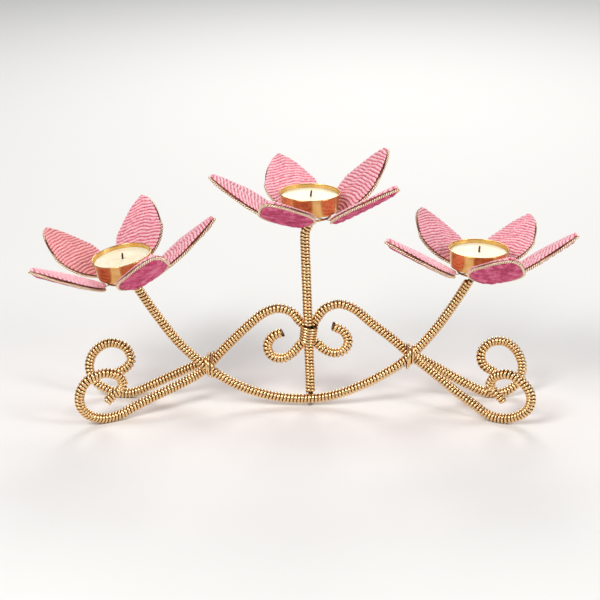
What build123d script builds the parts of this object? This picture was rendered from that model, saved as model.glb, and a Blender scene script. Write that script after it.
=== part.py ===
from build123d import *
import math
import os

# Three-arm tealight holder: a bent, wire-wrapped rod frame with three petalled flowers, each
# with a tealight that lifts out. Millimetres. +Z is up, +X is to the right and +Y to the back.
# Every place is given from the point on the table under the middle of the frame.

# Rods and their winding
core_diameter = 3.2
wire_diameter = 1.5
wrap_diameter = core_diameter + 2 * wire_diameter
wire_clearance = 0.1          # between a rod and what is wound on it
wind_pitch = 2.25             # from one turn of wire to the next
foot_flat = 0.3               # how deep a foot's winding is pressed flat on the table
layer = wrap_diameter + 0.3   # each rod lies this far behind the one in front of it
stem_depth = (wrap_diameter + core_diameter) / 2 + 0.3

# Height of a foot's centre line where it touches the table
foot_height = wrap_diameter / 2 - foot_flat

# Tealights
cup_diameter = 38.0
cup_base_diameter = 34.6
cup_height = 12.0
cup_wall = 0.5
wax_gap = 3.0                 # from the cup's rim down to the wax
wax_clearance = 0.05
wick_diameter = 1.4
wick_length = 5.0
wick_sunk = 2.0
tab_diameter = 12.0
tab_thickness = 0.6

# Seat dish on the rod's end, and the wire ring that carries the petals
dish_diameter = 24.0
dish_thickness = 1.0
seat_height = 7.0             # from the flower's origin to the tealight's base
boss_diameter = 6.0
boss_length = 4.0
seat_clearance = 0.05
ring_wire = 1.3
ring_diameter = 25.4
tail_diameter = 0.5           # a petal's wire runs in to the boss, below the ring
tail_drop = 1.75              # below the petal's top plane, and more for each degree of rise
tail_drop_per_degree = 0.0185
tail_clearance = 0.15
tail_height = 2.9

# Petals
petal_length = 54.0
petal_width = 35.0
petal_base_radius = 9.5
petal_base_turn = 25.0        # degrees of round base to each side
petal_widest = 0.38           # share of the length
least_tip_radius = 0.6
petal_tip_radius = 2.4
petal_lift = 3.7              # from the flower's origin to the petal's top plane at its base
pad_thickness = 1.5
pad_crown = 0.6
pad_overhang = 1.1            # from the rim cord's outer edge in to the pad's edge
velvet_thickness = 3.0
velvet_inset = 2.5
cord_diameter = 1.6
cord_drop = 3.0               # from the top plane down to the rim cord's middle
frame_wire = 0.8
frame_wire_inset = 1.85
frame_wire_drop = 2.0
crown_narrowing = 1.4
velvet_narrowing = 1.0
skin_gap = 0.02               # from the padded top down to the velvet

# Clamp, where the stem and both scroll rods are bound together bare
clamp_low = 43.2
clamp_high = 52.6
clamp_spread = 1.7            # each scroll rod's distance from the stem's plane
clamp_lead = 4.0              # least bare run between the clamp and a winding
wrap_bore = core_diameter + 2 * wire_clearance
bow_bare = 3.4                # the bow's winding stops this far from its route's ends
clamp_turns = 3

# The middle of the bounding box, which becomes the origin
middle_x = -3.05
middle_y = 1.35

# Routes of the rods: points outside each bend, which an arc rounds
bow_route = [
    (-109.5, 0, 82.3), (-98.5, 0, 64.5), (-83.5, 0, 43.0), (-66.0, 0, 26.5), (-43.5, 0, 12.2),
    (-16.0, 0, 4.6), (12.5, 0, 5.4), (38.0, 0, 15.8), (62.0, 0, 31.0), (79.5, 0, 51.5),
    (92.5, 0, 71.5), (100.6, 0, 85.8),
]
stem_route = [(0.9, stem_depth, 1.6), (-3.2, 1.5, 117.0)]
left_curl_route = [
    (-17.6, layer, 48.2), (-24.4, layer, 45.6), (-28.0, layer, 37.8), (-23.6, layer, 30.6),
    (-15.6, layer, 30.0), (-9.4, layer, 35.4), (-6.9, layer, 39.2),
]
left_arch_route = [
    (-6.6, layer, 56.0), (-11.0, layer, 62.6), (-20.0, layer, 65.4), (-29.5, layer, 61.8),
    (-41.5, layer, 51.0), (-54.5, layer, 37.5), (-68.8, layer, 21.0), (-82.0, -1.8, 16.4),
    (-97.0, -10.4, 12.2), (-110.5, -17.0, 7.4), (-121.5, -22.9, foot_height),
    (-131.0, -27.9, foot_height), (-139.4, -32.6, 7.2), (-144.0, -36.4, 15.6),
    (-143.4, -37.6, 25.4), (-138.0, -36.8, 34.0), (-127.5, -33.0, 37.2), (-118.6, -27.4, 32.2),
    (-117.0, -25.0, 23.2), (-123.6, -26.8, 19.4), (-127.8, -27.9, 14.5),
]
right_curl_route = [
    (14.8, layer, 52.4), (22.2, layer, 49.4), (25.8, layer, 41.4), (21.6, layer, 34.4),
    (13.8, layer, 33.8), (7.4, layer, 38.0), (5.0, layer, 41.0),
]
right_arch_route = [
    (4.6, layer, 57.6), (8.8, layer, 64.4), (18.6, layer, 68.6), (28.6, layer, 64.8),
    (40.0, layer, 54.2), (53.0, layer, 44.2), (68.5, layer, 29.4), (81.0, -2.8, 22.8),
    (93.5, -11.0, 14.0), (104.5, -17.6, 8.4), (113.5, -23.2, foot_height),
    (122.5, -28.0, foot_height), (131.0, -31.0, 5.6), (138.0, -34.8, 13.0),
    (138.4, -36.2, 23.0), (133.2, -35.8, 31.0), (124.0, -32.4, 36.0), (115.0, -27.0, 31.8),
    (112.8, -24.6, 23.0), (118.0, -25.8, 19.4), (122.1, -26.6, 15.2),
]
left_rear_route = [
    (-66.5, 2 * layer, 26.2), (-82.0, 2 * layer, 19.2), (-98.5, 2 * layer, 10.9),
    (-115.0, 13.4, foot_height), (-127.0, 14.0, foot_height), (-139.6, 16.6, 8.0),
    (-144.6, 18.8, 18.6), (-141.0, 20.4, 29.6), (-130.5, 21.0, 36.4), (-119.0, 19.0, 33.6),
    (-115.0, 16.6, 25.0), (-119.0, 16.2, 19.6), (-124.9, 16.4, 16.4),
]
right_rear_route = [
    (66.0, 2 * layer, 31.4), (82.0, 2 * layer, 21.8), (97.5, 2 * layer, 12.4),
    (112.0, 13.2, 4.6), (119.0, 13.6, foot_height), (127.0, 14.2, foot_height),
    (136.4, 16.4, 8.2), (139.8, 18.8, 18.6), (136.4, 20.6, 28.8), (128.4, 21.2, 36.6),
    (117.4, 20.0, 37.0), (110.8, 17.4, 30.4), (112.2, 16.0, 21.6), (120.9, 16.1, 16.6),
]

# Each flower: origin, tilt to the right and lean to the front
flowers = {
    "left": ((-115.0, 0.0, 84.5), -10.0, 4.0),
    "centre": ((0.0, 1.5, 124.6), 0.0, 0.0),
    "right": ((105.5, 0.0, 88.4), 1.0, 0.0),
}

# Each petal: azimuth from +X, rise, roll about its length, and its base's distance from the axis
petals = {
    "left": [(210, 32, 3, 14.2), (142, 31, 10, 19.0), (79, 36, -14, 19.0), (10, 31, -7, 15.5), (-62, 37, 0, 14.2)],
    "centre": [(184, 32, -2, 16.0), (109, 27, -1, 14.6), (31, 43, -5, 17.0), (-29, 32, -7, 15.0), (-114, 30, 6, 14.6)],
    "right": [(195, 29, 3, 14.2), (121, 28, 13, 17.0), (54, 25, -9, 16.2), (-14, 36, -3, 17.0), (-76, 33, -8, 14.2)],
}


def save(piece, name):
    piece = piece.moved(Location((-middle_x, -middle_y, 0)))
    piece.label = name
    export_step(piece, f"parts/{name}.step")


def bend_radii(route):
    """Radius of each bend: 0.45 of the shorter run beside it, over the tangent of half the turn."""
    radii = []
    for before, corner, after in zip(route, route[1:], route[2:]):
        run_in = Vector(*corner) - Vector(*before)
        run_out = Vector(*after) - Vector(*corner)
        half_turn = math.radians(run_in.get_angle(run_out)) / 2
        radii.append(0.45 * min(run_in.length, run_out.length) / math.tan(half_turn))
    return radii


def swept(route, outer, inner=0.0, trims=(0.0, 0.0)):
    """A round rod, or a sleeve with a bore, along a route whose ends are cut back by the trims."""
    radii = bend_radii(route) if len(route) > 2 else []
    points = [*route]
    points[0] = toward(route[0], route[1], trims[0])
    points[-1] = toward(route[-1], route[-2], trims[1])
    with BuildPart() as piece:
        with BuildLine() as path:
            FilletPolyline(*points, radius=radii) if radii else Line(*points)
        with BuildSketch(Plane(origin=path.line @ 0, z_dir=path.line % 0)):
            Circle(outer / 2)
            if inner:
                Circle(inner / 2, mode=Mode.SUBTRACT)
        sweep()
    return piece.part


def toward(start, end, distance):
    """The point that lies a distance from start on the way to end."""
    step = (Vector(*end) - Vector(*start)).normalized() * distance
    return tuple(Vector(*start) + step)


def biarc(start, start_way, end, end_way):
    """Two arcs that meet smoothly between two points with given directions."""
    span = end - start
    both = start_way + end_way
    a = 2 * (1 - start_way.dot(end_way))
    b = 2 * span.dot(both)
    reach = (-b + math.sqrt(b * b + 4 * a * span.dot(span))) / (2 * a)
    joint = (start + start_way * reach + end - end_way * reach) / 2
    first = TangentArc(start, joint, tangent=start_way)
    TangentArc(joint, end, tangent=first % 1)


def winding(base, radius, turns, pitch):
    """One unbroken wire wound round the axis of a plane, on biarcs of a quarter turn."""
    slope = pitch / (2 * math.pi * radius)
    origin = base.from_local_coords(Vector(0, 0, 0))

    def station(angle):
        """Point and direction of the wire after turning through an angle."""
        place = Vector(radius * math.cos(angle), radius * math.sin(angle), radius * angle * slope)
        way = Vector(-math.sin(angle), math.cos(angle), slope).normalized()
        return base.from_local_coords(place), base.from_local_coords(way) - origin

    stations = [station(quarter * math.pi / 2) for quarter in range(4 * turns + 1)]
    with BuildPart() as piece:
        with BuildLine() as path:
            for (start, start_way), (end, end_way) in zip(stations, stations[1:]):
                biarc(start, start_way, end, end_way)
        with BuildSketch(Plane(origin=path.line @ 0, z_dir=path.line % 0)):
            Circle(wire_diameter / 2)
        sweep()
    points = [path.line @ (i / (turns * 40)) for i in range(turns * 40 + 1)]
    gap = min(
        (points[j] - points[i]).length - wire_diameter
        for i in range(len(points))
        for j in range(i + 30, min(i + 51, len(points)))
    )
    print(turns, "turns, least gap of the wire to itself", round(gap, 2))
    return piece.part


def at_height(route, height):
    """The point of a straight route at a height."""
    start, end = Vector(*route[0]), Vector(*route[1])
    return tuple(start + (end - start) * ((height - start.Z) / (end.Z - start.Z)))


def make_stem():
    """Centre stem, with its winding as real turns above and below the clamp."""
    radius = (core_diameter + wire_diameter) / 2 + wire_clearance
    save(swept([*stem_route, *rod_end("centre")], core_diameter), "stem_rod")
    stretches = {
        "stem_lower_wrap": (stem_route[0][2] + 9.0, clamp_low - 3.4),
        "stem_upper_wrap": (clamp_high + 3.2, stem_route[-1][2] - 2.4),
    }
    for name, (low, high) in stretches.items():
        bottom, top = at_height(stem_route, low), at_height(stem_route, high)
        base = Plane(origin=bottom, x_dir=(1, 0, 0), z_dir=Vector(*top) - Vector(*bottom))
        turns = math.floor((high - low) / wind_pitch)
        save(winding(base, radius, turns, wind_pitch), name)


def make_scrolls():
    """Scroll rods: inner curl, clamp, arch over the bow, and on as the front feet."""
    stem_x = at_height(stem_route, (clamp_low + clamp_high) / 2)[0]
    bend = 0.45 * clamp_lead
    scrolls = {"left": (left_curl_route, left_arch_route, -1), "right": (right_curl_route, right_arch_route, 1)}
    for name, (curl, arch, side) in scrolls.items():
        x = stem_x + side * clamp_spread
        beside = [(x, layer, clamp_low), (x, layer, clamp_high)]
        save(swept([*curl, *beside, *arch], core_diameter), f"{name}_scroll_rod")
        curl_wrap = swept(curl, wrap_diameter, wrap_bore, (0.0, bend))
        arch_wrap = swept(arch, wrap_diameter, wrap_bore, (bend, 0.0))
        arch_wrap = split(arch_wrap, bisect_by=Plane.XY, keep=Keep.TOP)
        save(Compound([*curl_wrap.solids(), *arch_wrap.solids()]), f"{name}_scroll_wrap")


def make_frame():
    bow_ends = rod_end("left"), rod_end("right")
    save(swept([*reversed(bow_ends[0]), *bow_route, *bow_ends[1]], core_diameter), "bow_rod")
    save(swept(bow_route, wrap_diameter, wrap_bore, (bow_bare, bow_bare)), "bow_wrap")
    make_stem()
    make_scrolls()
    for name, route in {"left": left_rear_route, "right": right_rear_route}.items():
        save(swept(route, core_diameter), f"{name}_rear_foot_rod")
        wrap = swept(route, wrap_diameter, wrap_bore)
        save(split(wrap, bisect_by=Plane.XY, keep=Keep.TOP), f"{name}_rear_foot_wrap")
    make_binding()


def make_binding():
    """Wire bound round the stem and both scroll rods at the clamp."""
    middle = at_height(stem_route, (clamp_low + clamp_high) / 2)
    depth = (layer - middle[1]) / 2
    low = (clamp_low + clamp_high - clamp_turns * wind_pitch) / 2
    bottom = Plane(origin=(middle[0], middle[1] + depth, low), z_dir=(0, 0, 1))
    reach = (core_diameter + wire_diameter) / 2 + wire_clearance
    radius = math.hypot(clamp_spread, depth) + reach
    save(winding(bottom, radius, clamp_turns, wind_pitch), "centre_binding")


def flower_plane(name):
    origin, tilt, lean = flowers[name]
    turn = Location((0, 0, 0), (lean, 0, 0)) * Location((0, 0, 0), (0, tilt, 0))
    return Plane(Location(origin) * turn)


def rod_end(name):
    """Last two points of a flower's rod: its bend below the boss, and its end under the dish."""
    flower = flower_plane(name)
    boss_mouth = seat_height - dish_thickness - boss_length
    return [tuple(flower.offset(height).origin) for height in (boss_mouth - 2.6, boss_mouth + boss_length - 0.3)]


def petal_plane(flower, azimuth, rise, roll, reach):
    place = flower.location * Location((0, 0, 0), (0, 0, azimuth)) * Location((reach, 0, petal_lift))
    place = place * Location((0, 0, 0), (0, -rise, 0)) * Location((0, 0, 0), (roll, 0, 0))
    return Plane(place)


def petal_outline(inset):
    """Ovate face from a round base at x = 0 to a small round tip, set in by a distance."""
    widest = (petal_length * petal_widest, petal_width / 2)
    with BuildSketch() as outline:
        with BuildLine():
            base = JernArc((0, 0), (0, 1), petal_base_radius, -petal_base_turn, mode=Mode.PRIVATE)
            flank = TangentArc(base @ 1, widest, tangent=base % 1, mode=Mode.PRIVATE)
            shoulder = TangentArc(widest, (petal_length, 0), tangent=flank % 1, mode=Mode.PRIVATE)
            corners = [arc @ 1 + Vector((arc % 1).Y, -(arc % 1).X) * inset for arc in (base, flank)]
            centre = shoulder.arc_center
            tip = centre.X + math.sqrt((shoulder.radius - inset) ** 2 - centre.Y**2)
            TangentArc((inset, 0), corners[0], tangent=(0, 1))
            TangentArc(corners[0], corners[1], tangent=base % 1)
            TangentArc(corners[1], (tip, 0), tangent=flank % 1)
            mirror(about=Plane.XZ)
        make_face()
        fillet(outline.vertices().sort_by(Axis.X)[-1], max(petal_tip_radius - inset, least_tip_radius))
    return outline.sketch


def rim_tube(plane, inset, drop, diameter):
    """A wire or cord all round a petal."""
    rim = (plane.offset(-drop) * petal_outline(inset)).faces()[0].outer_wire()
    with BuildPart() as piece:
        with BuildSketch(Plane(origin=rim @ 0, z_dir=rim % 0)):
            Circle(diameter / 2)
        sweep(path=rim)
    return piece.part


def petal_wire(plane, flower, azimuth, rise):
    """The petal's wire frame, with the tail that runs in to the boss."""
    out = Location((boss_diameter / 2 + tail_clearance, 0, tail_height))
    inner = flower.location * Location((0, 0, 0), (0, 0, azimuth)) * out
    drop = tail_drop + tail_drop_per_degree * rise
    outer = plane.from_local_coords(Vector(frame_wire_inset, 0, -drop))
    tail = swept([tuple(inner.position), tuple(outer)], tail_diameter)
    return rim_tube(plane, frame_wire_inset, frame_wire_drop, frame_wire) + tail


def drawn_in(plane, inset, narrowing, height):
    """A slab on a plane whose sides draw in over its height, up from the plane or down."""
    with BuildPart() as slab:
        with BuildSketch(plane):
            add(petal_outline(inset))
        with BuildSketch(plane.offset(height)):
            add(petal_outline(inset + narrowing))
        loft()
    return slab.part


def petal_pad(plane):
    """Padded top: upright sides and a low crown with drawn-in edges."""
    with BuildPart() as pad:
        with BuildSketch(plane.offset(-pad_thickness)):
            add(petal_outline(pad_overhang))
        extrude(amount=pad_thickness)
        add(drawn_in(plane, pad_overhang, crown_narrowing, pad_crown))
    return pad.part


def petal_velvet(plane):
    """Velvet-covered underside with drawn-in lower edges."""
    top = plane.offset(-pad_thickness - skin_gap)
    with BuildPart() as velvet:
        with BuildSketch(top):
            add(petal_outline(velvet_inset))
        extrude(amount=-velvet_thickness / 2)
        add(drawn_in(top.offset(-velvet_thickness / 2), velvet_inset, velvet_narrowing, -velvet_thickness / 2))
    return velvet.part


def make_tealight(name, flower):
    base = flower.offset(seat_height)
    taper = math.degrees(math.atan((cup_diameter - cup_base_diameter) / 2 / cup_height))
    with BuildPart() as cup:
        with BuildSketch(base):
            Circle(cup_base_diameter / 2)
        extrude(amount=cup_height, taper=-taper)
        with BuildSketch(base.offset(cup_wall)):
            Circle(cup_base_diameter / 2 - cup_wall)
        extrude(amount=cup_height, taper=-taper, mode=Mode.SUBTRACT)
    save(cup.part, f"{name}_cup")

    wax_height = cup_height - wax_gap - cup_wall - wax_clearance
    hole = wick_diameter + 2 * wax_clearance
    with BuildPart() as wax:
        with BuildSketch(base.offset(cup_wall + wax_clearance)):
            Circle(cup_base_diameter / 2 - cup_wall - wax_clearance)
        extrude(amount=wax_height, taper=-taper)
        with BuildSketch(base.offset(cup_wall + wax_clearance)):
            Circle(tab_diameter / 2 + wax_clearance)
        extrude(amount=tab_thickness + 2 * wax_clearance, mode=Mode.SUBTRACT)
        with BuildSketch(base.offset(cup_wall)):
            Circle(hole / 2)
        extrude(amount=cup_height, mode=Mode.SUBTRACT)
    save(wax.part, f"{name}_wax")

    tab_plane = base.offset(cup_wall + wax_clearance)
    with BuildPart() as tab:
        with BuildSketch(tab_plane):
            Circle(tab_diameter / 2)
        extrude(amount=tab_thickness)
    save(tab.part, f"{name}_wick_tab")

    wick_start = tab_thickness + wax_clearance
    with BuildPart() as wick:
        with BuildSketch(tab_plane.offset(wick_start)):
            Circle(wick_diameter / 2)
        extrude(amount=wax_height - wick_start + wick_length - wick_sunk + wax_clearance)
    save(wick.part, f"{name}_wick")


def make_seat(name, flower):
    """Dish that the tealight stands on, with a boss on the rod's end, and the petals' ring."""
    dish_bottom = seat_height - dish_thickness
    with BuildPart() as dish:
        with BuildSketch(flower.offset(dish_bottom)):
            Circle(dish_diameter / 2)
        extrude(amount=dish_thickness - seat_clearance)
        with BuildSketch(flower.offset(dish_bottom)):
            Circle(boss_diameter / 2)
            Circle(core_diameter / 2 + seat_clearance, mode=Mode.SUBTRACT)
        extrude(amount=-boss_length)
    save(dish.part, f"{name}_seat_dish")

    ring_height = tail_height + (tail_diameter + ring_wire) / 2 + tail_clearance
    with BuildPart() as ring:
        with BuildSketch(Plane(flower.offset(ring_height).origin, flower.x_dir, flower.y_dir)):
            with Locations((ring_diameter / 2, 0)):
                Circle(ring_wire / 2)
        revolve(axis=Axis(flower.origin, flower.z_dir))
    save(ring.part, f"{name}_petal_ring")


def make_flower(name):
    flower = flower_plane(name)
    make_tealight(name, flower)
    make_seat(name, flower)
    wires, cords, velvets = [], [], []
    for number, (azimuth, rise, roll, reach) in enumerate(petals[name], start=1):
        plane = petal_plane(flower, azimuth, rise, roll, reach)
        save(petal_pad(plane), f"{name}_petal_{number}")
        velvets.append(petal_velvet(plane))
        cords.append(rim_tube(plane, cord_diameter / 2, cord_drop, cord_diameter))
        wires.append(petal_wire(plane, flower, azimuth, rise))
    groups = {"petal_wires": wires, "rim_cords": cords, "velvet_backs": velvets}
    for label, pieces in groups.items():
        save(Compound([solid for piece in pieces for solid in piece.solids()]), f"{name}_{label}")


os.makedirs("parts", exist_ok=True)
make_frame()
for flower_name in flowers:
    make_flower(flower_name)
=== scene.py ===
import bmesh
import bpy
import math
import numpy as np
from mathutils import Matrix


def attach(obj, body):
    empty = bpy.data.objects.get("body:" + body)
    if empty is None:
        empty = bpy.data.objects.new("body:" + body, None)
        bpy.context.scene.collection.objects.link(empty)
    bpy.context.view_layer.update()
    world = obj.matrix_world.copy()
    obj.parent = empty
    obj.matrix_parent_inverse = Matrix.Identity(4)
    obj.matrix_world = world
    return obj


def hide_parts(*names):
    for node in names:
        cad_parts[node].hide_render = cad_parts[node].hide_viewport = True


# Three-arm tealight holder. Lengths are millimetres, from the point on the table that the part's
# source measures from, and become metres from the frame's origin as a mesh is put in.
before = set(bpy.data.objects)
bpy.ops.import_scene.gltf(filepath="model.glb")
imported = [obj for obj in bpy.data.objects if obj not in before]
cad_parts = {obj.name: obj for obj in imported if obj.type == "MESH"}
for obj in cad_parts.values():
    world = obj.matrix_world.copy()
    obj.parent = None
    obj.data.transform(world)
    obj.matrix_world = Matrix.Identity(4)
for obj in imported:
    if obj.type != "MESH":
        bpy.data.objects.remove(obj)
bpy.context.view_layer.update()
originShift = np.array((-3.05, 1.35, 0.0))
chance = np.random.default_rng(11)
print("frame loaded,", len(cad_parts), "nodes")


def hexColour(code):
    # sRGB hex to linear
    parts = [int(code[i : i + 2], 16) / 255 for i in (1, 3, 5)]
    return (*[p / 12.92 if p <= 0.04045 else ((p + 0.055) / 1.055) ** 2.4 for p in parts], 1.0)


def addNode(tree, kind, settings=(), links=()):
    # one node, with values set on it or on its sockets, and links into its sockets
    node = tree.nodes.new(kind)
    for key, value in dict(settings).items():
        if isinstance(key, str) and hasattr(node, key):
            setattr(node, key, value)
        else:
            node.inputs[key].default_value = value
    for key, source in dict(links).items():
        tree.links.new(source, node.inputs[key])
    return node


def startMaterial(name, **sockets):
    # a material whose shader has constants on its own sockets
    material = bpy.data.materials.new(name)
    material.use_nodes = True
    tree = material.node_tree
    shader = tree.nodes["Principled BSDF"]
    for key, value in sockets.items():
        shader.inputs[key.replace("_", " ")].default_value = value
    return material, tree, shader


def paint(tree, shader, factor, stops):
    # the base colour, from a ramp of places and colours over a factor
    ramp = addNode(tree, "ShaderNodeValToRGB", links={"Fac": factor})
    elements = ramp.color_ramp.elements
    while len(elements) < len(stops):
        elements.new(0.5)
    for element, (place, code) in zip(elements, stops):
        element.position = place
        element.color = hexColour(code)
    tree.links.new(ramp.outputs["Color"], shader.inputs["Base Color"])


def multiplyAdd(tree, factor, value, added):
    # a value times a factor, plus another value
    node = addNode(tree, "ShaderNodeMath", {"operation": "MULTIPLY_ADD", 1: factor}, {0: value, 2: added})
    return node.outputs[0]


def objectNoise(tree, scale, detail=3.0):
    place = addNode(tree, "ShaderNodeTexCoord").outputs["Object"]
    noise = addNode(tree, "ShaderNodeTexNoise", {"Scale": scale, "Detail": detail}, {"Vector": place})
    return noise.outputs["Fac"]


def addBump(tree, shader, height, distance, strength=1.0):
    bump = addNode(tree, "ShaderNodeBump", {"Distance": distance, "Strength": strength}, {"Height": height})
    tree.links.new(bump.outputs["Normal"], shader.inputs["Normal"])


def brassWire():
    # Drawn brass wire, lightly lacquered: a painted highlight on each turn's crest and painted shade in dark
    # brown between the turns, with a little random tone
    material, tree, shader = startMaterial("drawnBrassWire", Metallic=1.0, Roughness=0.25)
    crest = addNode(tree, "ShaderNodeAttribute", {"attribute_name": "crest"}).outputs["Fac"]
    # painted light: the crest mask makes the outer side of each turn pale and the side between turns dark
    crestLightAndTone = multiplyAdd(tree, 0.25, objectNoise(tree, 170), crest)
    paint(tree, shader, crestLightAndTone, [(0.12, "#2A140A"), (0.52, "#7A4620"), (0.82, "#C68C4A"), (1.0, "#F4CF98")])
    return material


def ringBrass():
    # Plain brass wire, bright, for the ring and the seat under each flower
    material, tree, shader = startMaterial("plainBrassWire", Metallic=1.0, Roughness=0.3)
    paint(tree, shader, objectNoise(tree, 260), [(0.3, "#A8763C"), (0.7, "#DDAE6C")])
    addBump(tree, shader, objectNoise(tree, 900), 0.0001)
    return material


def brassRod():
    # Bare brass rod, aged to brown, and darkened further as painted shade where it shows between the turns and
    # at the clamp
    material, tree, shader = startMaterial("agedAndShadedBrassRod", Metallic=1.0, Roughness=0.42)
    paint(tree, shader, objectNoise(tree, 180), [(0.3, "#5A3A20"), (0.7, "#96703E")])
    addBump(tree, shader, objectNoise(tree, 700), 0.0001)
    return material


def petalCord(name, crest, middle, valley):
    # Wound glossy thread in rows: a painted highlight in pale pink on each row's crest and painted shade in
    # deeper pink between the rows
    material, tree, shader = startMaterial(name, Roughness=0.62, Sheen_Weight=0.35, Sheen_Roughness=0.4)
    row = addNode(tree, "ShaderNodeAttribute", {"attribute_name": "row"}).outputs["Fac"]
    speck = objectNoise(tree, 1050, 2.5)
    # painted light: the row mask turns pale on the crests and deep pink in the hollows between rows
    mixed = multiplyAdd(tree, 1.5, speck, row)
    shifted = addNode(tree, "ShaderNodeMath", {"operation": "SUBTRACT", 1: 0.72}, {0: mixed})
    paint(tree, shader, shifted.outputs[0], [(0.05, valley), (0.5, middle), (0.95, crest)])
    addBump(tree, shader, speck, 0.0005, 0.9)
    return material


def velvetPile():
    # Cotton velvet: deep magenta pile, mottled where it is brushed, with a soft sheen
    material, tree, shader = startMaterial(
        "magentaVelvet", Roughness=0.9, Sheen_Weight=0.7, Sheen_Roughness=0.45
    )
    shader.inputs["Sheen Tint"].default_value = hexColour("#F58CB0")
    patches = multiplyAdd(tree, 0.5, objectNoise(tree, 900), objectNoise(tree, 170))
    paint(tree, shader, patches, [(0.5, "#9C1A48"), (0.72, "#D23C70"), (0.92, "#F084A4")])
    addBump(tree, shader, objectNoise(tree, 1600), 0.0006)
    return material


def goldCord():
    # Twisted metallic thread: cream-gold strands with a painted highlight on each crest and painted shade in
    # brown between them
    material, tree, shader = startMaterial("twistedGoldCord", Metallic=0.6, Roughness=0.34)
    crest = addNode(tree, "ShaderNodeAttribute", {"attribute_name": "crest"}).outputs["Fac"]
    # painted light: the crest mask makes each strand's outer side bright and the side between strands brown
    crestLightAndTone = multiplyAdd(tree, 0.3, objectNoise(tree, 900), crest)
    paint(tree, shader, crestLightAndTone, [(0.25, "#4A2014"), (0.6, "#A8703E"), (0.88, "#E8C492"), (1.0, "#FBEBD2")])
    addBump(tree, shader, objectNoise(tree, 2400), 0.0002)
    return material


def tarnishedWireAndGrooveShade():
    # Thin copper-coloured wire, tarnished to brown-red; on the rim cord's core the same dark finish is painted
    # shade in the grooves between the strands
    material, tree, shader = startMaterial("tarnishedCopperWireAndGrooveShade", Metallic=0.9, Roughness=0.42)
    paint(tree, shader, objectNoise(tree, 400), [(0.3, "#6A3020"), (0.7, "#A86A44")])
    return material


def foil(name, dark, light, roughness):
    # Drawn aluminium foil with a coloured lacquer; faint upright drawing marks
    material, tree, shader = startMaterial(name, Metallic=1.0, Roughness=roughness)
    paint(tree, shader, objectNoise(tree, 120), [(0.3, dark), (0.7, light)])
    place = addNode(tree, "ShaderNodeTexCoord").outputs["Object"]
    upright = addNode(tree, "ShaderNodeMapping", {"Scale": (1.0, 1.0, 0.05)}, {"Vector": place})
    marks = addNode(tree, "ShaderNodeTexNoise", {"Scale": 900.0}, {"Vector": upright.outputs[0]})
    addBump(tree, shader, marks.outputs["Fac"], 0.00005, 0.6)
    return material


def paraffin():
    # Cream paraffin wax, cast: a little light passes under the surface
    material, tree, shader = startMaterial(
        "paraffinWax", Roughness=0.42, Subsurface_Weight=0.35, Subsurface_Scale=0.004, IOR=1.44
    )
    paint(tree, shader, objectNoise(tree, 90), [(0.3, "#F6E2BC"), (0.7, "#FCF0D8")])
    addBump(tree, shader, objectNoise(tree, 220), 0.0002, 0.5)
    return material


def cottonWick():
    # Braided cotton, waxed and dark red-brown
    material, tree, shader = startMaterial("braidedCottonWick", Roughness=0.8)
    paint(tree, shader, objectNoise(tree, 1400), [(0.3, "#2B100C"), (0.7, "#5A2C20")])
    addBump(tree, shader, objectNoise(tree, 2500), 0.0003)
    return material


def tinPlate():
    # Stamped tinplate, matt grey
    material, tree, shader = startMaterial("stampedTinplate", Metallic=1.0, Roughness=0.38)
    paint(tree, shader, objectNoise(tree, 500), [(0.3, "#8E8E8C"), (0.7, "#B9B9B5")])
    return material


finishes = {
    "wire": brassWire(),
    "rod": brassRod(),
    "ring": ringBrass(),
    "petal": petalCord("palePinkThread", "#F9CBD0", "#E97A8C", "#AE3558"),
    "salmonPetal": petalCord("salmonPinkThread", "#F4B3AE", "#E67F84", "#B03E55"),
    "velvet": velvetPile(),
    "cord": goldCord(),
    "darkWire": tarnishedWireAndGrooveShade(),
    # the cord's dark core is painted shade in the grooves between its strands
    "cordGrooveShade": tarnishedWireAndGrooveShade(),
    "cup": foil("copperLacqueredFoil", "#D49650", "#F0BE7E", 0.24),
    "cupInside": foil("goldLacqueredFoil", "#E0AC58", "#F6D592", 0.27),
    "wax": paraffin(),
    "wick": cottonWick(),
    "tab": tinPlate(),
}
print("materials made")


def gridQuads(rows, columns, closed=True):
    # corners of each cell of a grid; a closed grid joins its last column to its first
    i, j = np.meshgrid(np.arange(rows - 1), np.arange(columns if closed else columns - 1), indexing="ij")
    k = (j + 1) % columns
    corners = [i * columns + j, i * columns + k, (i + 1) * columns + k, (i + 1) * columns + j]
    return np.stack(corners, -1).reshape(-1, 4)


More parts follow.
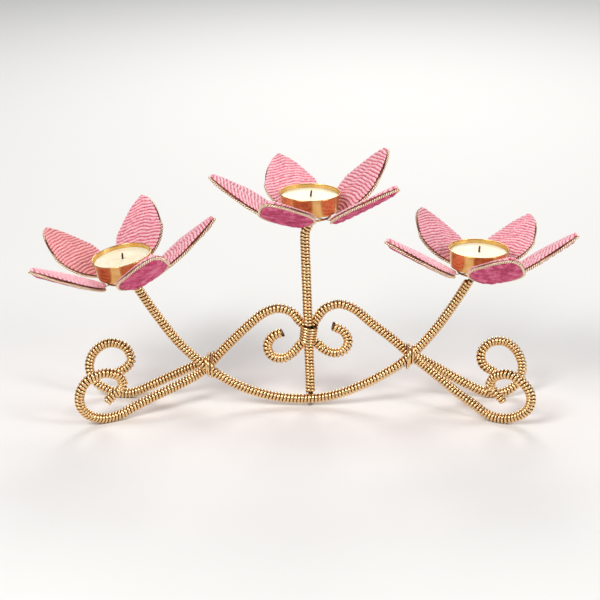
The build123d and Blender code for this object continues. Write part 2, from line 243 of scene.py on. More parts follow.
def putMesh(name, points, quads, materials, body, values=None, faceMaterials=None):
    # points in millimetres and quads go in as whole arrays; poles are merged and faces turned outwards
    mesh = bpy.data.meshes.new(name)
    mesh.vertices.add(len(points))
    mesh.vertices.foreach_set("co", ((points - originShift) / 1000).astype(np.float32).ravel())
    mesh.loops.add(quads.size)
    mesh.loops.foreach_set("vertex_index", quads.astype(np.int32).ravel())
    mesh.polygons.add(len(quads))
    mesh.polygons.foreach_set("loop_start", np.arange(0, quads.size, 4, dtype=np.int32))
    mesh.polygons.foreach_set("use_smooth", np.ones(len(quads), dtype=bool))
    if faceMaterials is not None:
        mesh.polygons.foreach_set("material_index", faceMaterials.astype(np.int32))
    for key, value in (values or {}).items():
        mesh.attributes.new(key, "FLOAT", "POINT").data.foreach_set("value", value.astype(np.float32).ravel())
    mesh.update(calc_edges=True)
    mesh.validate()
    shape = bmesh.new()
    shape.from_mesh(mesh)
    bmesh.ops.remove_doubles(shape, verts=shape.verts, dist=2e-6)
    bmesh.ops.recalc_face_normals(shape, faces=shape.faces)
    shape.to_mesh(mesh)
    shape.free()
    piece = bpy.data.objects.new(name, mesh)
    bpy.context.scene.collection.objects.link(piece)
    for material in materials:
        mesh.materials.append(material)
    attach(piece, body)
    return piece


def unit(vectors):
    return vectors / np.maximum(np.linalg.norm(vectors, axis=-1, keepdims=True), 1e-12)


# Bends: the share of the shorter run beside it that each tangent arc takes, and the arc's points
bend = {"share": 0.45, "samples": 24}


def roundedPath(route, trims=(0.0, 0.0), step=0.25):
    # straight runs joined by tangent arcs
    route = np.array(route, float)
    dense = [route[:1]]
    for before, corner, after in zip(route, route[1:], route[2:]):
        runIn, runOut = corner - before, after - corner
        share = bend["share"] * min(np.linalg.norm(runIn), np.linalg.norm(runOut))
        wayIn, wayOut = unit(runIn), unit(runOut)
        turn = math.acos(float(np.clip(wayIn @ wayOut, -1, 1)))
        radius = share / math.tan(turn / 2)
        inward = unit(wayOut - wayIn)
        centre = corner + inward * (radius / math.cos(turn / 2))
        angles = np.linspace(-turn / 2, turn / 2, bend["samples"])[:, None]
        along = unit(wayIn + wayOut)
        dense.append(centre + radius * (np.sin(angles) * along - np.cos(angles) * inward))
    dense.append(route[-1:])
    dense = np.concatenate(dense)
    length = np.concatenate([[0], np.cumsum(np.linalg.norm(np.diff(dense, axis=0), axis=1))])
    places = np.linspace(trims[0], length[-1] - trims[1], int((length[-1] - sum(trims)) / step) + 2)
    return np.stack([np.interp(places, length, dense[:, k]) for k in range(3)], 1)


def tubeGrid(line, outward, radius, sides, closed=False, floor=None, spread=1.0):
    # circles of a radius round a line, drawn in to points at open ends
    radius = np.broadcast_to(radius, (len(line),)).astype(float)
    if not closed:
        line = np.concatenate([line[:1], line, line[-1:]])
        outward = np.concatenate([outward[:1], outward, outward[-1:]])
        radius = np.concatenate([[0], radius, [0]])
    way = unit(np.roll(line, -1, 0) - np.roll(line, 1, 0)) if closed else unit(np.gradient(line, axis=0))
    across = unit(np.cross(way, outward))
    up = np.cross(across, way)
    angle = np.linspace(0, 2 * math.pi, sides, endpoint=False)[None, :, None]
    circles = np.cos(angle) * up[:, None] + spread * np.sin(angle) * across[:, None]
    points = line[:, None] + radius[:, None, None] * circles
    if floor is not None:
        points[..., 2] = np.maximum(points[..., 2], floor)
    quads = gridQuads(len(line), sides)
    if closed:
        last = (len(line) - 1) * sides + np.arange(sides)
        following = (len(line) - 1) * sides + (np.arange(sides) + 1) % sides
        first, second = np.arange(sides), (np.arange(sides) + 1) % sides
        quads = np.concatenate([quads, np.stack([last, following, second, first], -1)])
    return points.reshape(-1, 3), quads


def crestOf(points, sides):
    # 1 on a tube's outermost line and 0 on its innermost, for tubes whose rings start outwards
    ring = 0.5 + 0.5 * np.cos(np.linspace(0, 2 * math.pi, sides, endpoint=False))
    return {"crest": np.tile(ring, len(points) // sides)}


def joinGrids(grids):
    # several grids as one mesh
    points, quads, count = [], [], 0
    for gridPoints, gridFaces in grids:
        points.append(gridPoints)
        quads.append(gridFaces + count)
        count += len(gridPoints)
    return np.concatenate(points), np.concatenate(quads)


# Winding: an unbroken wire round each rod, pressed a little flat so that its turns nearly touch
winding = {
    "wireRadius": 0.72,
    "wireSpread": 0.96,  # half of the wire's width along the rod, where it is pressed flatter
    "coilRadius": 2.45,
    "pitch": 2.25,
    "samplesPerTurn": 18,
    "sides": 10,
    "unevenness": 0.045,  # of a turn
    "driftTurns": 2.3,  # between two changes of the drift
    "swell": 0.015,  # of the coil's radius
    "closePitch": 2,  # below this the turns are close and the wire keeps nearly round
    "closeSpread": 1.1,
}


def woundWire(path, coilRadius=winding["coilRadius"], pitch=winding["pitch"], reference=(0, 1, 0)):
    # a helix about a path: the path's point plus the coil's radius times a vector that turns evenly
    # in the plane square to the path, a little unevenly from turn to turn
    spans = np.linalg.norm(np.diff(path, axis=0), axis=1)
    length = np.concatenate([[0], np.cumsum(spans)])
    count = int(length[-1] / pitch * winding["samplesPerTurn"])
    place = np.linspace(0, length[-1], count)
    way = unit(np.gradient(path, axis=0))
    side = unit(np.cross(way, np.array(reference, float)))
    up = np.cross(side, way)
    centre, side, up = [
        np.stack([np.interp(place, length, values[:, k]) for k in range(3)], 1) for values in (path, side, up)
    ]
    knots = np.linspace(0, length[-1], int(length[-1] / (winding["driftTurns"] * pitch)) + 2)
    drift = np.interp(place, knots, chance.uniform(-1, 1, len(knots))) * winding["unevenness"]
    angle = (place / pitch + drift)[:, None] * 2 * math.pi
    outward = unit(np.cos(angle) * side + np.sin(angle) * up)
    lift = 1 + winding["swell"] * np.interp(place, knots, chance.uniform(-1, 1, len(knots)))[:, None]
    flat = winding["wireSpread"] / winding["wireRadius"]
    spread = flat if pitch > winding["closePitch"] else winding["closeSpread"]
    line = centre + coilRadius * lift * outward
    return tubeGrid(line, outward, winding["wireRadius"], winding["sides"], floor=0.02, spread=spread)


layer = 6.5
footHeight = 2.8
bowRoute = [
    (-109.5, 0, 82.3), (-98.5, 0, 64.5), (-83.5, 0, 43.0), (-66.0, 0, 26.5), (-43.5, 0, 12.2),
    (-16.0, 0, 4.6), (12.5, 0, 5.4), (38.0, 0, 15.8), (62.0, 0, 31.0), (79.5, 0, 51.5),
    (92.5, 0, 71.5), (100.6, 0, 85.8),
]
leftCurlRoute = [
    (-17.6, layer, 48.2), (-24.4, layer, 45.6), (-28.0, layer, 37.8), (-23.6, layer, 30.6),
    (-15.6, layer, 30.0), (-9.4, layer, 35.4), (-6.9, layer, 39.2),
]
leftArchRoute = [
    (-6.6, layer, 56.0), (-11.0, layer, 62.6), (-20.0, layer, 65.4), (-29.5, layer, 61.8),
    (-41.5, layer, 51.0), (-54.5, layer, 37.5), (-68.8, layer, 21.0), (-82.0, -1.8, 16.4),
    (-97.0, -10.4, 12.2), (-110.5, -17.0, 7.4), (-121.5, -22.9, footHeight),
    (-131.0, -27.9, footHeight), (-139.4, -32.6, 7.2), (-144.0, -36.4, 15.6),
    (-143.4, -37.6, 25.4), (-138.0, -36.8, 34.0), (-127.5, -33.0, 37.2), (-118.6, -27.4, 32.2),
    (-117.0, -25.0, 23.2), (-123.6, -26.8, 19.4), (-127.8, -27.9, 14.5),
]
rightCurlRoute = [
    (14.8, layer, 52.4), (22.2, layer, 49.4), (25.8, layer, 41.4), (21.6, layer, 34.4),
    (13.8, layer, 33.8), (7.4, layer, 38.0), (5.0, layer, 41.0),
]
rightArchRoute = [
    (4.6, layer, 57.6), (8.8, layer, 64.4), (18.6, layer, 68.6), (28.6, layer, 64.8),
    (40.0, layer, 54.2), (53.0, layer, 44.2), (68.5, layer, 29.4), (81.0, -2.8, 22.8),
    (93.5, -11.0, 14.0), (104.5, -17.6, 8.4), (113.5, -23.2, footHeight),
    (122.5, -28.0, footHeight), (131.0, -31.0, 5.6), (138.0, -34.8, 13.0),
    (138.4, -36.2, 23.0), (133.2, -35.8, 31.0), (124.0, -32.4, 36.0), (115.0, -27.0, 31.8),
    (112.8, -24.6, 23.0), (118.0, -25.8, 19.4), (122.1, -26.6, 15.2),
]
leftRearRoute = [
    (-66.5, 2 * layer, 26.2), (-82.0, 2 * layer, 19.2), (-98.5, 2 * layer, 10.9),
    (-115.0, 13.4, footHeight), (-127.0, 14.0, footHeight), (-139.6, 16.6, 8.0),
    (-144.6, 18.8, 18.6), (-141.0, 20.4, 29.6), (-130.5, 21.0, 36.4), (-119.0, 19.0, 33.6),
    (-115.0, 16.6, 25.0), (-119.0, 16.2, 19.6), (-124.9, 16.4, 16.4),
]
rightRearRoute = [
    (66.0, 2 * layer, 31.4), (82.0, 2 * layer, 21.8), (97.5, 2 * layer, 12.4),
    (112.0, 13.2, 4.6), (119.0, 13.6, footHeight), (127.0, 14.2, footHeight),
    (136.4, 16.4, 8.2), (139.8, 18.8, 18.6), (136.4, 20.6, 28.8), (128.4, 21.2, 36.6),
    (117.4, 20.0, 37.0), (110.8, 17.4, 30.4), (112.2, 16.0, 21.6), (120.9, 16.1, 16.6),
]
stemLow, stemHigh = np.array((0.9, 5.0, 1.6)), np.array((-3.2, 1.5, 117.0))


def stemAt(height):
    return stemLow + (stemHigh - stemLow) * (height - stemLow[2]) / (stemHigh[2] - stemLow[2])


# Where both scrolls run straight up beside the stem, under the clamp's turns
besideStem = {"height": 47.9, "reach": 1.7, "low": 43.2, "high": 52.6, "run": 9.4, "bare": 0.3}


def windFrame():
    low, high, run, bare, reach = (besideStem[key] for key in ("low", "high", "run", "bare", "reach"))
    middle = stemAt(besideStem["height"])[0]
    sides = (("left", -reach), ("right", reach))
    beside = {side: [(middle + shift, layer, z) for z in (low, high)] for side, shift in sides}
    wound = {
        "bow_wrap": [roundedPath(bowRoute, (0.4, 0.4))],
        "left_scroll_wrap": [roundedPath([*leftCurlRoute, *beside["left"]], (0, run + bare)),
                             roundedPath([*beside["left"], *leftArchRoute], (run + bare, 0))],
        "right_scroll_wrap": [roundedPath([*rightCurlRoute, *beside["right"]], (0, run + bare)),
                              roundedPath([*beside["right"], *rightArchRoute], (run + bare, 0))],
        "left_rear_foot_wrap": [roundedPath(leftRearRoute)],
        "right_rear_foot_wrap": [roundedPath(rightRearRoute)],
        "stem_lower_wrap": [roundedPath([stemAt(7.9), stemAt(42.2)])],
        "stem_upper_wrap": [roundedPath([stemAt(53.6), stemAt(117.0), (-0.9, 1.5, 122.6)])],
    }
    for node, paths in wound.items():
        points, quads = joinGrids([woundWire(path) for path in paths])
        crest = crestOf(points, winding["sides"])
        piece = putMesh(node + "Turns", points, quads, [finishes["wire"]], "frame", crest)
        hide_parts(node)


# Clamp: close turns round the stem and both scrolls
clamp = {"low": 42.2, "high": 54.2, "turns": 6.5, "radius": 5.0, "tilt": 0.12, "middle": 48.0, "back": 0.75}


def bindClamp():
    centre = stemAt(clamp["middle"]) + (0, clamp["back"], 0)
    rise = np.array((clamp["tilt"], 0, 1.0))
    ends = [clamp[key] - clamp["middle"] for key in ("low", "high")]
    path = centre + np.linspace(*ends, 60)[:, None] * rise
    pitch = (clamp["high"] - clamp["low"]) / clamp["turns"]
    points, quads = woundWire(path, clamp["radius"], pitch)
    crest = crestOf(points, winding["sides"])
    piece = putMesh("clampTurns", points, quads, [finishes["wire"]], "frame", crest)
    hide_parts("centre_binding")


# Lashings: wire laid round the bow, the scroll and the rear foot where they cross
lashings = {
    "left": {"at": (-64.4, 26.3), "turns": 3, "pitch": 1.7, "lean": 0.1,
             "strands": [((-64.4, 0, 26.8), (-0.78, 0, 0.62)), ((-64.4, layer, 25.8), (-0.65, 0, -0.76)),
                         ((-66.5, 2 * layer, 26.2), (-0.91, 0, -0.41))]},
    "right": {"at": (64.3, 33.7), "turns": 3, "pitch": 1.7, "lean": 0.0,
              "strands": [((64.3, 0, 33.8), (0.7, 0, 0.71)), ((64.3, layer, 33.6), (0.7, 0, -0.71)),
                          ((66.0, 2 * layer, 31.4), (0.857, 0, -0.514))]},
}


lashWire = {"strandRadius": 3.2, "samplesPerTurn": 90, "wander": 0.35, "slopeStep": 0.01}


def lashCrossing(name, facts):
    # the tight outline round several slanting round rods, as the support function of their ellipses
    # in a slowly advancing plane: each point is the support times its direction plus its slope
    # times the direction square to it
    axis = unit(np.array((1.0, 0.0, facts["lean"])))
    upward = unit(np.cross(axis, np.array((0.0, 1.0, 0.0))))
    upward = upward * np.sign(upward[2])
    back = np.array((0.0, 1.0, 0.0))
    reach = lashWire["strandRadius"] + winding["wireRadius"]
    origin = np.array((facts["at"][0], 0.0, facts["at"][1]))
    count = int(facts["turns"] * lashWire["samplesPerTurn"])
    angle = math.pi / 2 + np.linspace(0, 2 * math.pi * facts["turns"], count)
    advance = facts["pitch"] * ((angle - math.pi / 2) / (2 * math.pi) - facts["turns"] / 2)

    def support(turned):
        along, deep = np.cos(turned), np.sin(turned)
        best = np.full(len(turned), -1e9)
        for point, way in facts["strands"]:
            point, way = np.array(point, float), unit(np.array(way, float))
            slope = way @ axis
            hit = (advance - (point - origin) @ axis) / slope
            centre = (point - origin)[None] + hit[:, None] * way[None]
            longHalf, tilt = reach / abs(slope), np.array((way @ upward, way @ back))
            tilt = tilt / max(np.linalg.norm(tilt), 1e-9)
            across = along * tilt[0] + deep * tilt[1]
            square = -along * tilt[1] + deep * tilt[0]
            best = np.maximum(best, centre @ upward * along + centre @ back * deep
                              + np.sqrt((longHalf * across) ** 2 + (reach * square) ** 2))
        return best

    step = lashWire["slopeStep"]
    held, slope = support(angle), (support(angle + step) - support(angle - step)) / (2 * step)
    along = held * np.cos(angle) - slope * np.sin(angle)
    deep = held * np.sin(angle) + slope * np.cos(angle)
    line = origin + along[:, None] * upward + deep[:, None] * back + advance[:, None] * axis
    wander = np.sin(angle * 0.37) * lashWire["wander"]
    line = line + wander[:, None] * axis
    outward = unit(np.cos(angle)[:, None] * upward + np.sin(angle)[:, None] * back)
    points, quads = tubeGrid(line, outward, winding["wireRadius"], winding["sides"])
    crest = crestOf(points, winding["sides"])
    putMesh(name + "CrossingLashing", points, quads, [finishes["wire"]], "frame", crest)


windFrame()
bindClamp()
for side, facts in lashings.items():
    lashCrossing(side, facts)
print("frame wound")

# Flowers: origin, tilt to the right, lean to the front; petals by azimuth, rise, roll and reach
flowers = {
    "left": {"origin": (-115.0, 0.0, 84.5), "tilt": -10.0, "lean": 4.0,
             "petals": [(210, 32, 3, 14.2), (142, 31, 10, 19.0), (79, 36, -14, 19.0), (10, 31, -7, 15.5),
                        (-62, 37, 0, 14.2)]},
    "centre": {"origin": (0.0, 1.5, 124.6), "tilt": 0.0, "lean": 0.0,
               "petals": [(184, 32, -2, 16.0), (109, 27, -1, 14.6), (31, 43, -5, 17.0), (-29, 32, -7, 15.0),
                          (-114, 30, 6, 14.6)]},
    "right": {"origin": (105.5, 0.0, 88.4), "tilt": 1.0, "lean": 0.0,
              "petals": [(195, 29, 3, 14.2), (121, 28, 13, 17.0), (54, 25, -9, 16.2), (-14, 36, -3, 17.0),
                         (-76, 33, -8, 14.2)]},
}
petal = {
    "length": 54.0, "halfWidth": 17.5, "baseRadius": 9.5, "baseTurn": 25.0, "widest": 0.38,
    "lift": 3.7, "padInset": 0.7, "padThickness": 1.8, "crown": 0.4, "rowPitch": 2.45, "rowHeight": 1.2,
    "tipNarrowing": 0.14, "tipRadius": 1.5, "tipTrim": 0.25,
    "velvetInset": 1.9, "velvetThickness": 2.6, "cordInset": 0.8, "cordDrop": 2.7,
}


def turned(axis, degrees):
    c, s = math.cos(math.radians(degrees)), math.sin(math.radians(degrees))
    return np.array({
        "x": ((1, 0, 0), (0, c, -s), (0, s, c)),
        "y": ((c, 0, s), (0, 1, 0), (-s, 0, c)),
        "z": ((c, -s, 0), (s, c, 0), (0, 0, 1)),
    }[axis])


def flowerPlace(facts):
    return np.array(facts["origin"]), turned("x", facts["lean"]) @ turned("y", facts["tilt"])


def petalPlace(facts, azimuth, rise, roll, reach):
    origin, turn = flowerPlace(facts)
    spin = turn @ turned("z", azimuth)
    return origin + spin @ np.array((reach, 0, petal["lift"])), spin @ turned("y", -rise) @ turned("x", roll)


def petalArcs():
    # centre and radius of the base, flank and shoulder arcs, each tangent to the one before
    turn = math.radians(petal["baseTurn"])
    start = np.array((petal["baseRadius"] * (1 - math.cos(turn)), petal["baseRadius"] * math.sin(turn)))
    arcs = [(np.array((petal["baseRadius"], 0.0)), petal["baseRadius"])]
    normal = np.array((math.cos(turn), -math.sin(turn)))
    for end in ((petal["length"] * petal["widest"], petal["halfWidth"]), (petal["length"], 0.0)):
        span = np.array(end) - start
        radius = span @ span / (2 * span @ normal)
        centre = start + normal * radius
        arcs.append((centre, radius))
        normal = (centre - np.array(end)) / radius
        start = np.array(end)
    return arcs


baseArc, flankArc, shoulderArc = petalArcs()


def tipPlace(inset):
    centre, radius = shoulderArc
    return centre[0] + math.sqrt((radius - inset) ** 2 - centre[1] ** 2)


def halfWidth(x, inset):
    # the petal's half width at a distance along it, set in: from each arc's circle in its own stretch,
    # with a small round at the tip
    turn = math.radians(petal["baseTurn"])
    baseEnd = petal["baseRadius"] * (1 - math.cos(turn)) + inset * math.cos(turn)
    flankEnd = petal["length"] * petal["widest"]

    def circle(arc, reduce):
        centre, radius = arc
        return centre[1] + np.sqrt(np.maximum((radius - reduce) ** 2 - (x - centre[0]) ** 2, 0))

    beyondBase = np.where(x < flankEnd, circle(flankArc, inset), circle(shoulderArc, inset))
    width = np.where(x < baseEnd, circle(baseArc, inset), beyondBase)
    share = np.clip((x / petal["length"] - 0.5) / 0.5, 0, 1)
    width = width * (1 - petal["tipNarrowing"] * np.sin(math.pi * share) ** 0.8)
    tip, tipRadius = tipPlace(inset) - petal["tipTrim"], max(petal["tipRadius"] - inset, 0.7)
    rounded = np.sqrt(np.maximum(tipRadius**2 - np.maximum(x - (tip - tipRadius), 0) ** 2, 0)) * 1.15
    return np.where(x > tip - tipRadius, np.minimum(width, rounded), np.maximum(width, 0))


def petalTop(seed):
    # rows of wound thread across a petal: the height is a low crown plus a rounded ridge that
    # repeats at the row's pitch, bent a little at the midline; the underside is nearly flat
    low, high = petal["padInset"], tipPlace(petal["padInset"]) - petal["tipTrim"]
    x = np.linspace(low, high, 250)
    u = np.concatenate([np.linspace(-1, 1, 41), np.linspace(1, -1, 9)[1:-1]])
    under = np.concatenate([np.zeros(41), np.ones(7)])
    x, u = np.meshgrid(x, u, indexing="ij")
    under = np.broadcast_to(under, x.shape)
    spread = np.sin(u * math.pi / 2)
    width = halfWidth(x, petal["padInset"])
    y = width * spread
    wave = 0.42 * np.sin(y / 4.1 + seed + x / 14) + 0.26 * np.sin(y / 1.6 + 2.3 * seed + x / 5)
    wave = wave + 0.3 * np.tanh(y / 0.7) + 0.3 * np.sin(x / 3.3 + seed * 1.9) * np.cos(y / 6.5 + seed)
    phase = (x + 0.07 * np.abs(y) + wave) / petal["rowPitch"]
    ridge = np.abs(np.sin(math.pi * phase)) ** 0.7
    beads = 0.7 + 0.3 * np.abs(np.sin(math.pi * (y / 1.35 + 0.37 * np.floor(phase) * 1.7)))
    edge = np.clip(width / 3.0, 0, 1)
    y = y * (1 + (ridge - 0.5) * 0.07 * np.abs(spread) ** 6 * edge)
    roundOff = np.sqrt(np.maximum(1 - np.abs(spread) ** 3.0, 0))
    middle = -0.5 * petal["padThickness"]
    full = 0.5 * petal["padThickness"] + petal["crown"] * (1 - spread**2)
    full = full + petal["rowHeight"] * (ridge * beads - 0.6)
    top = middle + full * roundOff
    bottom = middle - 0.5 * petal["padThickness"] * roundOff
    endRound = np.sqrt(np.clip(width / 2.0, 0, 1))
    z = middle + (np.where(under > 0, bottom, top) - middle) * endRound
    points = np.stack([x, y, z], -1)
    return points.reshape(-1, 3), gridQuads(*x.shape), (ridge * beads).reshape(-1)


def petalVelvet(seed):
    # a stuffed velvet back: a flat top and a full underside, with a low brushed unevenness
    low, high = petal["velvetInset"], tipPlace(petal["velvetInset"]) - petal["tipTrim"]
    along = (1 - np.cos(np.linspace(0, math.pi, 120))) / 2
    angle = np.linspace(0, 2 * math.pi, 56, endpoint=False)
    along, angle = np.meshgrid(along, angle, indexing="ij")
    x = low + (high - low) * along
    width = halfWidth(x, petal["velvetInset"]) + 0.35
    y = width * np.sign(np.sin(angle)) * np.abs(np.sin(angle)) ** 0.8
    fall = np.cos(angle)
    thick = petal["velvetThickness"] * np.clip(width / 5.0, 0, 1) ** 0.4
    brushed = 0.16 * np.sin(x * 1.1 + y * 0.6 + seed) + 0.14 * np.sin(x * 1.9 + seed) * np.sin(y * 2.3 + seed)
    brushed = brushed + 0.08 * np.sin(x * 4.1 + 2 * seed + y) * np.sin(y * 3.7)
    z = -petal["padThickness"] - 0.1 - thick * np.where(fall < 0, np.abs(fall) ** 0.55, 0) * (1 + brushed * 0.6)
    z = z + np.where(fall >= 0, 0.08 * fall, 0)
    taper = np.clip(np.minimum(along, 1 - along) * 60, 0, 1)
    y = y * np.where((along == 0) | (along == 1), 0, 1)
    z = np.where(taper < 0.02, -petal["padThickness"] - 0.6, z)
    return np.stack([x, y, z], -1).reshape(-1, 3), gridQuads(*x.shape)


def pileThreads(count, seed):
    # loose ends of pile: three-sided tapering hairs, each from a point on the velvet's underside
    pick = np.random.default_rng(seed)
    x = pick.uniform(petal["velvetInset"] + 2, tipPlace(petal["velvetInset"]) - 3.5, count)
    spread = pick.uniform(-0.97, 0.97, count)
    y = halfWidth(x, petal["velvetInset"]) * spread
    z = -petal["padThickness"] - petal["velvetThickness"] * np.sqrt(1 - np.abs(spread) ** 2.6) * 0.97
    root = np.stack([x, y, z], 1)
    way = unit(np.stack([pick.normal(0, 0.8, count), pick.normal(0, 0.5, count) + spread, -np.ones(count)], 1))
    side = unit(np.cross(way, np.array((1.0, 0.3, 0.0))))
    other = np.cross(way, side)
    length = pick.uniform(0.5, 1.1, count)[:, None, None]
    angle = np.array((0, 2.094, 4.189))[None, :, None]
    ring = 0.11 * (np.cos(angle) * side[:, None] + np.sin(angle) * other[:, None])
    bend = pick.normal(0, 0.25, (count, 1, 3))
    points = np.concatenate([
        root[:, None] + 0 * ring, root[:, None] + ring,
        root[:, None] + length * 0.6 * way[:, None] + ring * 0.8 + bend * 0.3,
        root[:, None] + length * way[:, None] + bend + 0 * ring,
    ], 1)
    single = gridQuads(4, 3)
    quads = (np.arange(count)[:, None, None] * 12 + single[None]).reshape(-1, 4)
    return points.reshape(-1, 3), quads


def outlineLoop(inset, count):
    # points evenly along the petal's outline, base to tip and back
    tip = tipPlace(inset) - petal["tipTrim"]
    x = inset + (tip - inset) * (1 - np.cos(np.linspace(0, math.pi, 1200))) / 2
    y = halfWidth(x, inset)
    y[0] = y[-1] = 0
    loop = np.concatenate([np.stack([x, y], 1), np.stack([x, -y], 1)[::-1][1:]])
    length = np.concatenate([[0], np.cumsum(np.linalg.norm(np.diff(loop, axis=0), axis=1))])
    places = np.linspace(0, length[-1], count, endpoint=False)
    return np.stack([np.interp(places, length, loop[:, k]) for k in range(2)], 1), length[-1]


rimCord = {"strandRadius": 0.42, "coilRadius": 0.46, "pitch": 3.0, "strands": 2, "sides": 6, "coreRadius": 0.5,
           "samples": 600}


def petalRimCord(seed):
    # strands twisted about the petal's outline: the outline's point plus a vector that turns
    # evenly in the plane square to it
    samples, sides = rimCord["samples"], rimCord["sides"]
    loop, length = outlineLoop(petal["cordInset"], samples)
    smooth = sum(np.roll(loop, k, 0) for k in range(-3, 4)) / 7
    loop = np.concatenate([smooth, np.full((len(smooth), 1), -petal["cordDrop"])], 1)
    way = unit(np.roll(loop, -1, 0) - np.roll(loop, 1, 0))
    up = np.array((0, 0, 1.0))
    side = unit(np.cross(way, up))
    turns = round(length / rimCord["pitch"])
    twist = np.arange(samples) / samples * turns * 2 * math.pi
    grids = []
    for strand in range(rimCord["strands"]):
        angle = (twist + 2 * math.pi * strand / rimCord["strands"] + seed)[:, None]
        outward = np.cos(angle) * side + np.sin(angle) * up
        line = loop + rimCord["coilRadius"] * outward
        grids.append(tubeGrid(line, outward, rimCord["strandRadius"], sides, closed=True))
    # a dark core tube between the strands, as painted shade in the grooves of the twist
    grids.append(tubeGrid(loop, np.broadcast_to(up, loop.shape), rimCord["coreRadius"], sides, closed=True))
    return joinGrids(grids)


def placed(points, place):
    origin, turn = place
    return points @ turn.T + origin


def dressPetals(name, facts):
    velvets, cords = [], []
    for number, (azimuth, rise, roll, reach) in enumerate(facts["petals"], start=1):
        place = petalPlace(facts, azimuth, rise, roll, reach)
        seed = number * 1.7 + len(name)
        points, quads, row = petalTop(seed)
        finish = finishes["salmonPetal"] if (name, number) == ("left", 2) else finishes["petal"]
        rows = placed(points, place)
        top = putMesh(f"{name}Petal{number}Rows", rows, quads, [finish], "frame", {"row": row})
        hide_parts(f"{name}_petal_{number}")
        for points, quads in (petalVelvet(seed), pileThreads(260, number * 10 + len(name))):
            velvets.append((placed(points, place), quads))
        points, quads = petalRimCord(seed)
        cords.append((placed(points, place), quads))
    points, quads = joinGrids(velvets)
    back = putMesh(f"{name}VelvetBacks", points, quads, [finishes["velvet"]], "frame")
    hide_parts(f"{name}_velvet_backs")
    points, quads = joinGrids(cords)
    cordFaces = rimCord["samples"] * rimCord["sides"]
    core = (np.arange(len(quads)) // cordFaces) % (rimCord["strands"] + 1) == rimCord["strands"]
    strandFinishes = [finishes["cord"], finishes["cordGrooveShade"]]
    crest = crestOf(points, rimCord["sides"])
    rims = putMesh(f"{name}RimCords", points, quads, strandFinishes, "frame", crest, core)
    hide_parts(f"{name}_rim_cords")


# Tealights, from the seat up
tealight = {"seat": 7.0, "baseRadius": 17.3, "rimRadius": 19.0, "height": 12.0, "wall": 0.5, "waxTop": 9.0,
            "wickRadius": 0.6, "wickTop": 13.0, "wickLean": 1.1, "rollRadius": 0.42, "rollInset": 0.25,
            "segments": 96}


def latheGrid(profile, segments=tealight["segments"]):
    # a profile of radius and height turned about the flower's axis
    profile = np.array(profile, float)
    angle = np.linspace(0, 2 * math.pi, segments, endpoint=False)
    points = np.stack([
        profile[:, :1] * np.cos(angle), profile[:, :1] * np.sin(angle), np.repeat(profile[:, 1:], segments, 1),
    ], -1)
    return points.reshape(-1, 3), gridQuads(len(profile), segments)


def makeTealight(name, facts):
    origin, turn = flowerPlace(facts)
    seat = (origin + turn @ np.array((0, 0, tealight["seat"])), turn)
    base, rim, height, wall = (tealight[key] for key in ("baseRadius", "rimRadius", "height", "wall"))
    bead, inset = tealight["rollRadius"], tealight["rollInset"]
    around = np.linspace(-0.6, 2.9, 12)
    roll = [(rim - inset + bead * math.cos(a), height - bead + bead * math.sin(a)) for a in around]
    outside = [(0, 0.35), (base - 2.6, 0.3), (base - 2.0, 0.02), (base - 0.7, 0.0), (base - 0.15, 0.25),
               (base, 0.8)]
    climb = [(base + (rim - inset - base) * t, 0.8 + (height - 1.5 - 0.8) * t) for t in (0.25, 0.5, 0.75, 1.0)]
    inside = [(rim - wall - 0.15, height - 1.2), (base - wall + 0.1, 1.0), (base - wall - 0.4, wall), (0, wall)]
    profile = [*outside, *climb, *roll, *inside]
    points, quads = latheGrid(profile)
    ringOf = np.arange(len(quads)) // tealight["segments"]
    inner = (ringOf >= len(outside) + len(climb) + len(roll) - 3).astype(int)
    foils = [finishes["cup"], finishes["cupInside"]]
    cup = putMesh(f"{name}Cup", placed(points, seat), quads, foils, f"{name}_tealight",
                  faceMaterials=inner)
    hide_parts(f"{name}_cup")
    top, reach = tealight["waxTop"], base + (rim - base) * tealight["waxTop"] / height - wall - 0.1
    r = np.linspace(0, reach, 40)
    surface = top + 0.35 * np.exp((r - reach) / 0.9) + 0.45 * np.exp(-r / 1.3)
    surface = surface - 0.06 * np.cos(r / reach * math.pi)
    wax = [(0, wall + 0.7), (base - wall - 0.9, wall + 0.15), *zip(r[::-1], surface[::-1])]
    points, quads = latheGrid(wax)
    piece = putMesh(f"{name}Wax", placed(points, seat), quads, [finishes["wax"]], f"{name}_tealight")
    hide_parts(f"{name}_wax")
    climb = np.linspace(0, 1, 40)
    lean = {"left": 0.4, "centre": -0.3, "right": 0.9}[name]
    line = np.stack([
        tealight["wickLean"] * climb**2 * math.cos(lean), tealight["wickLean"] * climb**2 * math.sin(lean),
        1.3 + (tealight["wickTop"] - 1.3) * climb,
    ], 1)
    outward = np.broadcast_to(np.array((1.0, 0.0, 0.0)), line.shape)
    thickness = tealight["wickRadius"] * (1 + 0.12 * np.sin(climb * 60)) * np.where(climb > 0.96, 0.8, 1)
    points, quads = tubeGrid(line, outward, thickness, 12)
    piece = putMesh(f"{name}Wick", placed(points, seat), quads, [finishes["wick"]],
                    f"{name}_tealight")
    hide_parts(f"{name}_wick")


for flowerName, facts in flowers.items():
    dressPetals(flowerName, facts)
    makeTealight(flowerName, facts)
print("flowers dressed")

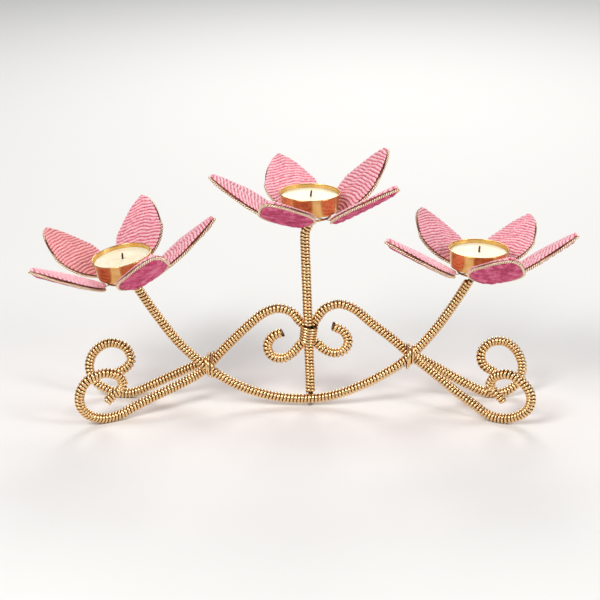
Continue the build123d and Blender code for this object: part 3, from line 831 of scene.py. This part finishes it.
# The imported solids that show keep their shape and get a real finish
nodeFinishes = {
    "_rod": "rod", "_seat_dish": "ring", "_petal_ring": "ring", "_petal_wires": "darkWire", "_wick_tab": "tab",
}
for node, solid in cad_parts.items():
    finish = next((value for ending, value in nodeFinishes.items() if node.endswith(ending)), "wire")
    solid.data.materials.clear()
    solid.data.materials.append(finishes[finish])

# Floor, light and camera
studio = {"floor": "#E9E7E3", "world": "#DDE0E4", "worldStrength": 0.5}


def makeStudio():
    mesh = bpy.data.meshes.new("floor")
    corners = [(-6, -6, 0), (6, -6, 0), (6, 6, 0), (-6, 6, 0)]
    mesh.from_pydata(corners, [], [(0, 1, 2, 3)])
    floor = bpy.data.objects.new("floor", mesh)
    bpy.context.scene.collection.objects.link(floor)
    material, _, shader = startMaterial("paleBackdropPaper", Roughness=0.85)
    shader.inputs["Base Color"].default_value = hexColour(studio["floor"])
    mesh.materials.append(material)
    world = bpy.data.worlds.new("studio")
    world.use_nodes = True
    background = world.node_tree.nodes["Background"]
    background.inputs["Color"].default_value = hexColour(studio["world"])
    background.inputs["Strength"].default_value = studio["worldStrength"]
    bpy.context.scene.world = world
    lamps = [
        ("key", (-0.7, -0.9, 1.1), (50, 0, -38), 0.6, 15.0),
        ("fill", (1.0, -0.6, 0.7), (60, 0, 58), 0.4, 6.0),
        ("back", (0.1, 1.1, 0.9), (-52, 0, 0), 0.6, 8.0),
    ]
    for name, place, angles, size, power in lamps:
        light = bpy.data.lights.new(name, "AREA")
        light.size = size
        light.energy = power
        lamp = bpy.data.objects.new(name, light)
        lamp.location = place
        lamp.rotation_euler = [math.radians(a) for a in angles]
        bpy.context.scene.collection.objects.link(lamp)


def makeCamera():
    view = bpy.data.cameras.new("camera")
    view.sensor_width = 36.0
    view.lens = 109.02
    camera = bpy.data.objects.new("camera", view)
    camera.location = (np.array((-6.144, -1079.267, 469.794)) - originShift) / 1000
    camera.rotation_euler = (math.radians(90 - 20.2), 0, 0)
    bpy.context.scene.collection.objects.link(camera)
    bpy.context.scene.camera = camera


makeStudio()
makeCamera()
bpy.context.scene.view_settings.view_transform = "Standard"
print("studio ready")
